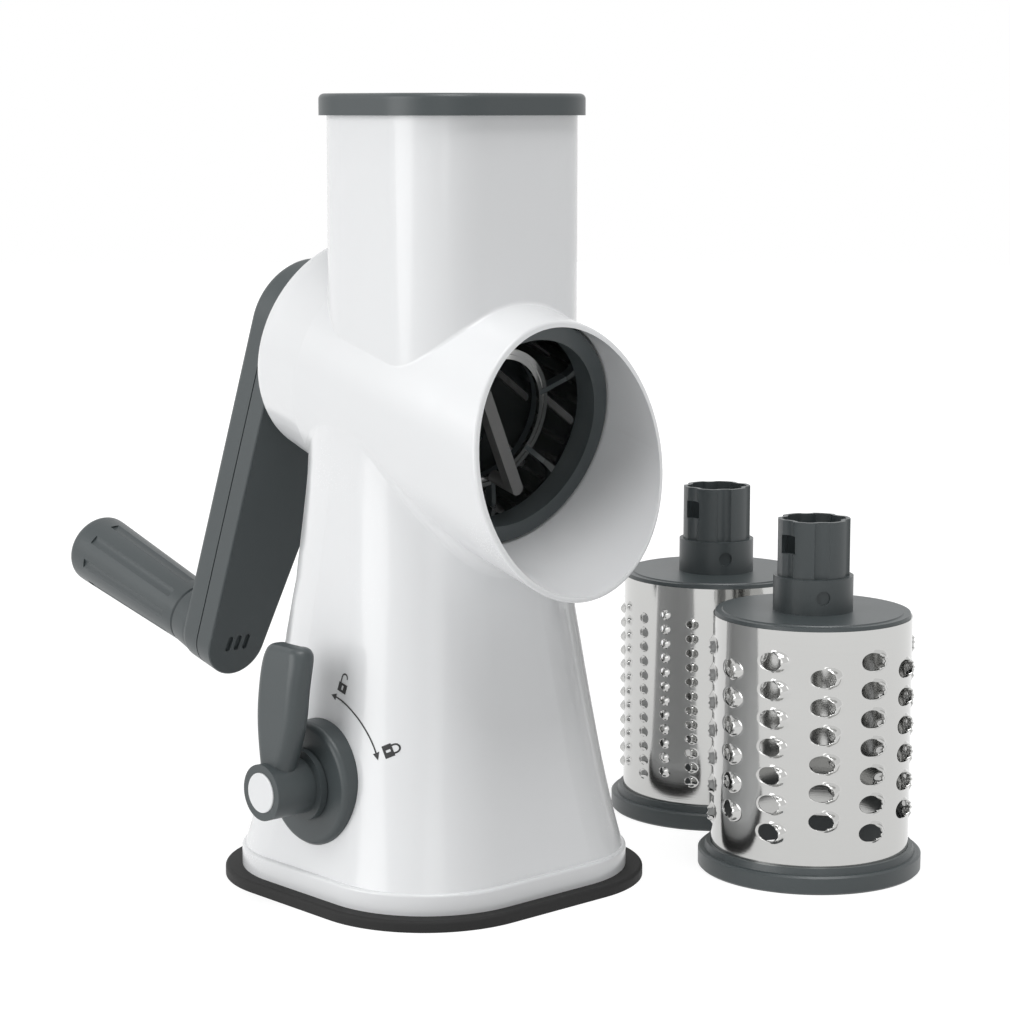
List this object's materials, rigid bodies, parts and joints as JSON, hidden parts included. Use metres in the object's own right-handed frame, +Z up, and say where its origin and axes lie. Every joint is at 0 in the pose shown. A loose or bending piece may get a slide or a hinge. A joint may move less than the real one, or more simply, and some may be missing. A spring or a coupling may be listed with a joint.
{
  "type": "rotary vegetable shredder",
  "caption": "Hand-cranked rotary cabbage shredder on a suction stand, with a hopper and pusher, a leaning barrel, a slicing drum, a locking lever and spare grating drums.",
  "frame": {"origin": "on the table, at the middle of the suction pad's underside", "axes": "+Z up, -Y towards the barrel's mouth, +Y towards the crank, -X towards the suction lever; the spare drums stand at +X"},
  "size_m": [0.2673, 0.3203, 0.285],
  "materials": {
    "white_body": "smooth glossy white moulding",
    "dark_grey": "satin dark slate grey moulding",
    "bar_grey": "satin mid grey moulding",
    "inner_grey": "plain light grey moulding inside the stand",
    "black_rubber": "matt black rubber",
    "drum_steel": "polished stainless steel sheet",
    "screw_steel": "plain steel"
  },
  "bodies": {
    "stand": {"body_shell": "white_body", "base_skirt": "white_body", "base_plate": "inner_grey", "base_screws": "screw_steel", "suction_pad": "black_rubber", "lever_escutcheon": "dark_grey", "cam_bracket": "inner_grey", "rear_bush": "dark_grey"},
    "pusher": {"pusher_lid": "dark_grey", "pusher_plunger": "white_body"},
    "crank": {"crank_inner_cover": "dark_grey", "crank_outer_cover": "dark_grey", "crank_drive_hub": "dark_grey", "crank_screws": "screw_steel", "grip_pin": "screw_steel"},
    "slicer_drum": {"slicer_ring": "dark_grey", "slicer_shell": "drum_steel", "slicer_back": "dark_grey", "slicer_spider": "dark_grey", "slicer_hoop": "drum_steel", "slicer_pull_bar": "bar_grey"},
    "button": {"release_button": "dark_grey"},
    "grip": {"grip_sleeve": "dark_grey", "grip_end_cap": "dark_grey"},
    "lever": {"lever_paddle": "dark_grey", "lever_cap": "white_body", "lever_screw": "screw_steel", "cam_shaft": "inner_grey"},
    "stem": {"suction_stem": "inner_grey"},
    "coarse_drum": {"coarse_ring": "dark_grey", "coarse_shell": "drum_steel", "coarse_back": "dark_grey"},
    "fine_drum": {"fine_ring": "dark_grey", "fine_shell": "drum_steel", "fine_back": "dark_grey"}
  },
  "joints": [
    {"name": "crank_turn", "type": "hinge", "parent": "stand", "child": "crank", "pos_m": [0, 0, 0.18], "axis": [0, -0.9646, -0.2639], "continuous": true},
    {"name": "drum_pull", "type": "slide", "parent": "crank", "child": "slicer_drum", "axis": [0, -0.9646, -0.2639], "range_m": [0, 0.135]},
    {"name": "button_press", "type": "slide", "parent": "crank", "child": "button", "axis": [0, -0.9646, -0.2639], "range_m": [0, 0.0025], "stiffness_N_per_m": 600},
    {"name": "grip_spin", "type": "hinge", "parent": "crank", "child": "grip", "pos_m": [-0.02115, 0.12945, 0.08579], "axis": [0, -0.9646, -0.2639], "continuous": true},
    {"name": "pusher_lift", "type": "slide", "parent": "stand", "child": "pusher", "axis": [0, 0, 1], "range_m": [0, 0.12]},
    {"name": "lever_turn", "type": "hinge", "parent": "stand", "child": "lever", "pos_m": [-0.065, 0, 0.0433], "axis": [1, 0, 0], "range_deg": [0, 90]},
    {"name": "stem_lift", "type": "slide", "parent": "stand", "child": "stem", "axis": [0, 0, 1], "range_m": [0, 0.0052], "deforming": ["suction_pad"]},
    {"name": "coarse_lift", "type": "slide", "parent": "stand", "child": "coarse_drum", "axis": [0, 0, 1], "range_m": [0, 0.15]},
    {"name": "fine_lift", "type": "slide", "parent": "stand", "child": "fine_drum", "axis": [0, 0, 1], "range_m": [0, 0.15]}
  ],
  "couplings": [
    {"joint": "stem_lift", "follows": "lever_turn", "m_per_rad": 0.0031831}
  ]
}
